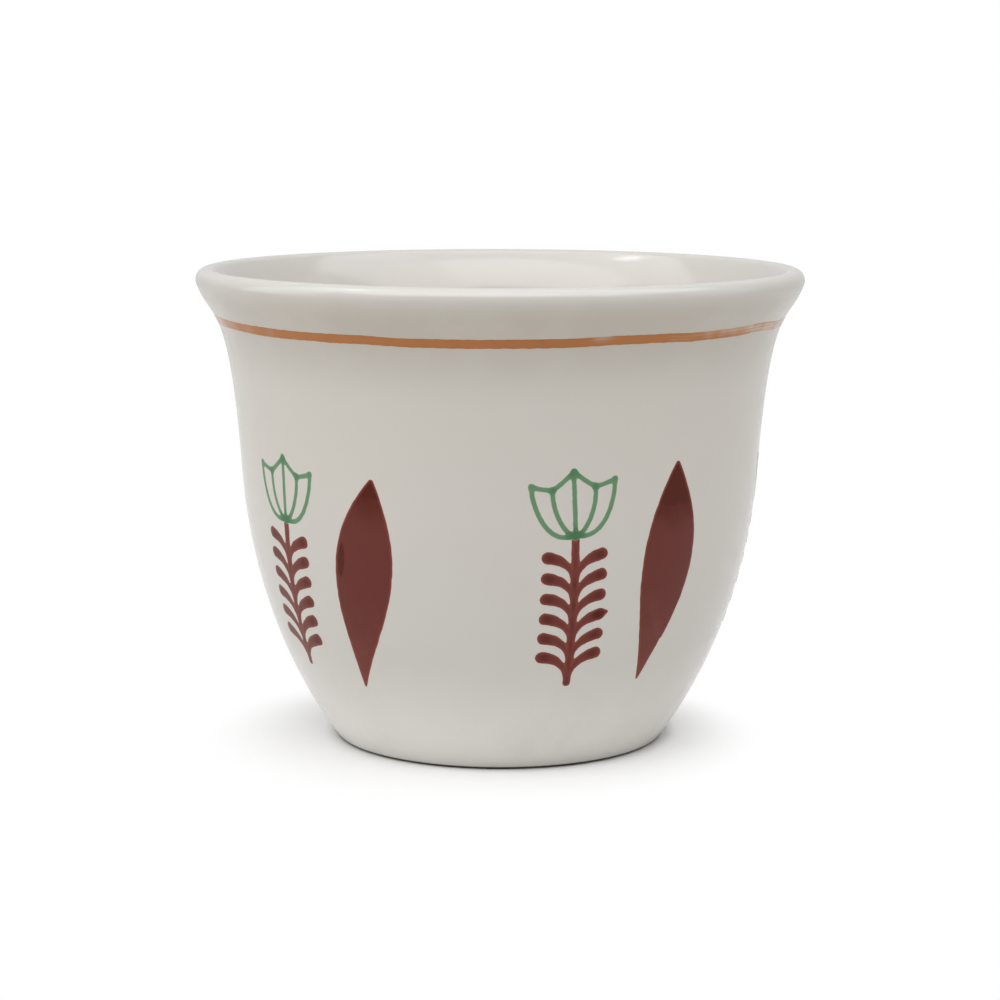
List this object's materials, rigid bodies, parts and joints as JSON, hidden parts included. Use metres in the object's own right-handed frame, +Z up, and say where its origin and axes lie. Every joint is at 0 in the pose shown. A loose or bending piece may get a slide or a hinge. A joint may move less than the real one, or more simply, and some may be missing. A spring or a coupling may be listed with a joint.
{
  "type": "arabic coffee cup",
  "caption": "Small handleless coffee cup with a flared rolled lip, a round belly and a narrow foot ring, glazed inside and out and painted with a rim line, tulips, leafy sprigs and leaves.",
  "frame": {"origin": "centre of the foot ring on the table plane", "axes": "+Z up along the cup's axis, -Y toward the painted front seen in the picture, +X to its right"},
  "size_m": [0.0678, 0.0678, 0.053],
  "materials": {
    "fired_clay": "bare fired clay, fine matt, seen only on the foot ring",
    "clear_glaze": "warm off-white glossy glaze",
    "orange_paint": "fired orange-brown line, glossy, drawn with a brush",
    "green_paint": "fired green outline, glossy",
    "brown_paint": "fired red-brown paint, glossy"
  },
  "bodies": {
    "root": {"cup_body": "fired_clay", "glaze_coat": "clear_glaze", "foot_glaze": "clear_glaze", "rim_line": "orange_paint", "tulip_1": "green_paint", "tulip_2": "green_paint", "tulip_3": "green_paint", "tulip_4": "green_paint", "tulip_5": "green_paint", "sprig_1": "brown_paint", "sprig_2": "brown_paint", "sprig_3": "brown_paint", "sprig_4": "brown_paint", "sprig_5": "brown_paint", "leaf_1": "brown_paint", "leaf_2": "brown_paint", "leaf_3": "brown_paint", "leaf_4": "brown_paint", "leaf_5": "brown_paint"}
  },
  "joints": []
}
